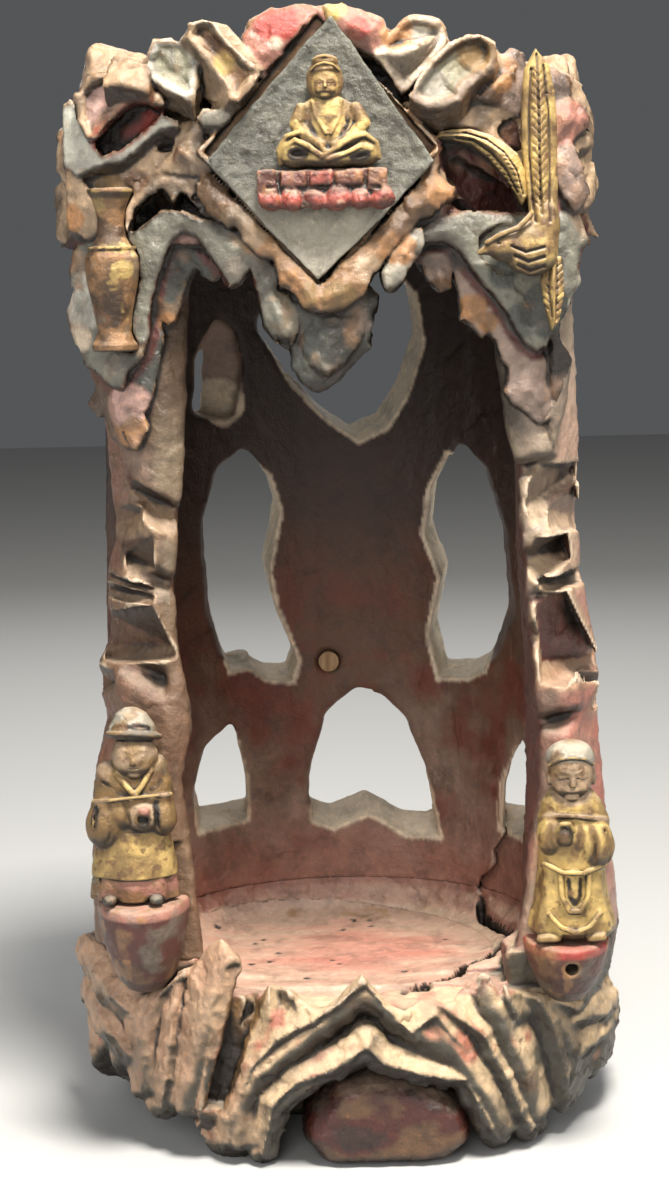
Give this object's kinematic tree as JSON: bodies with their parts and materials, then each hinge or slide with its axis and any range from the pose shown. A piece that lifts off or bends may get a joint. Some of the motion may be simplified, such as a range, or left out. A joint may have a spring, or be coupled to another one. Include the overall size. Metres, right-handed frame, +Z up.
{
  "type": "buddha shrine carving",
  "caption": "Carved and lacquered wooden rock-grotto altar shrine: an open niche with a pierced back wall, a canopy with a seated buddha plaque, a vase and a bird, and attendants on brackets.",
  "frame": {"origin": "middle of the resting face, on the plane the plinth and its foot block stand on", "axes": "+Z up along the height, -Y towards the viewer out of the open front of the niche, +X towards the viewer's right"},
  "size_m": [0.1681, 0.1438, 0.3299],
  "materials": {
    "rock_lacquer": "matte worn lacquer over gesso, dusty grey and tan",
    "grey_lacquer": "satin grey-green lacquer with tan, red and gilt touches, worn pale at the edges",
    "slate_lacquer": "satin slate-black lacquer with a worn rim",
    "maroon_lacquer": "matte dark maroon lacquer, dusty towards the floor",
    "red_lacquer": "matte vermilion and maroon lacquer, chipped",
    "gilt": "worn gilding over brown-red lacquer",
    "bare_wood": "bare turned wood"
  },
  "bodies": {
    "root": {"base_block": "rock_lacquer", "pillar_left": "rock_lacquer", "pillar_right": "rock_lacquer", "foot_block": "red_lacquer", "floor_board": "red_lacquer", "bracket_left": "red_lacquer", "bracket_right": "red_lacquer", "buddha_throne": "red_lacquer", "back_wall": "maroon_lacquer", "canopy": "grey_lacquer", "plaque": "slate_lacquer", "buddha_figure": "gilt", "vase": "gilt", "bird_body": "gilt", "bird_wing_upper": "gilt", "bird_wing_lower": "gilt", "attendant_left": "gilt", "attendant_right": "gilt", "wall_plug": "bare_wood", "dowel_pillar_left_foot": "bare_wood", "dowel_pillar_right_foot": "bare_wood", "dowel_pillar_left_head": "bare_wood", "dowel_pillar_right_head": "bare_wood", "dowel_wall_foot_left": "bare_wood", "dowel_wall_foot_right": "bare_wood", "dowel_wall_head": "bare_wood", "dowel_foot_block": "bare_wood", "peg_plaque": "bare_wood", "peg_buddha": "bare_wood", "peg_throne": "bare_wood", "peg_vase": "bare_wood", "peg_bird": "bare_wood", "peg_attendant_left": "bare_wood", "peg_attendant_right": "bare_wood", "peg_bracket_left": "bare_wood", "peg_bracket_right": "bare_wood"}
  },
  "joints": []
}
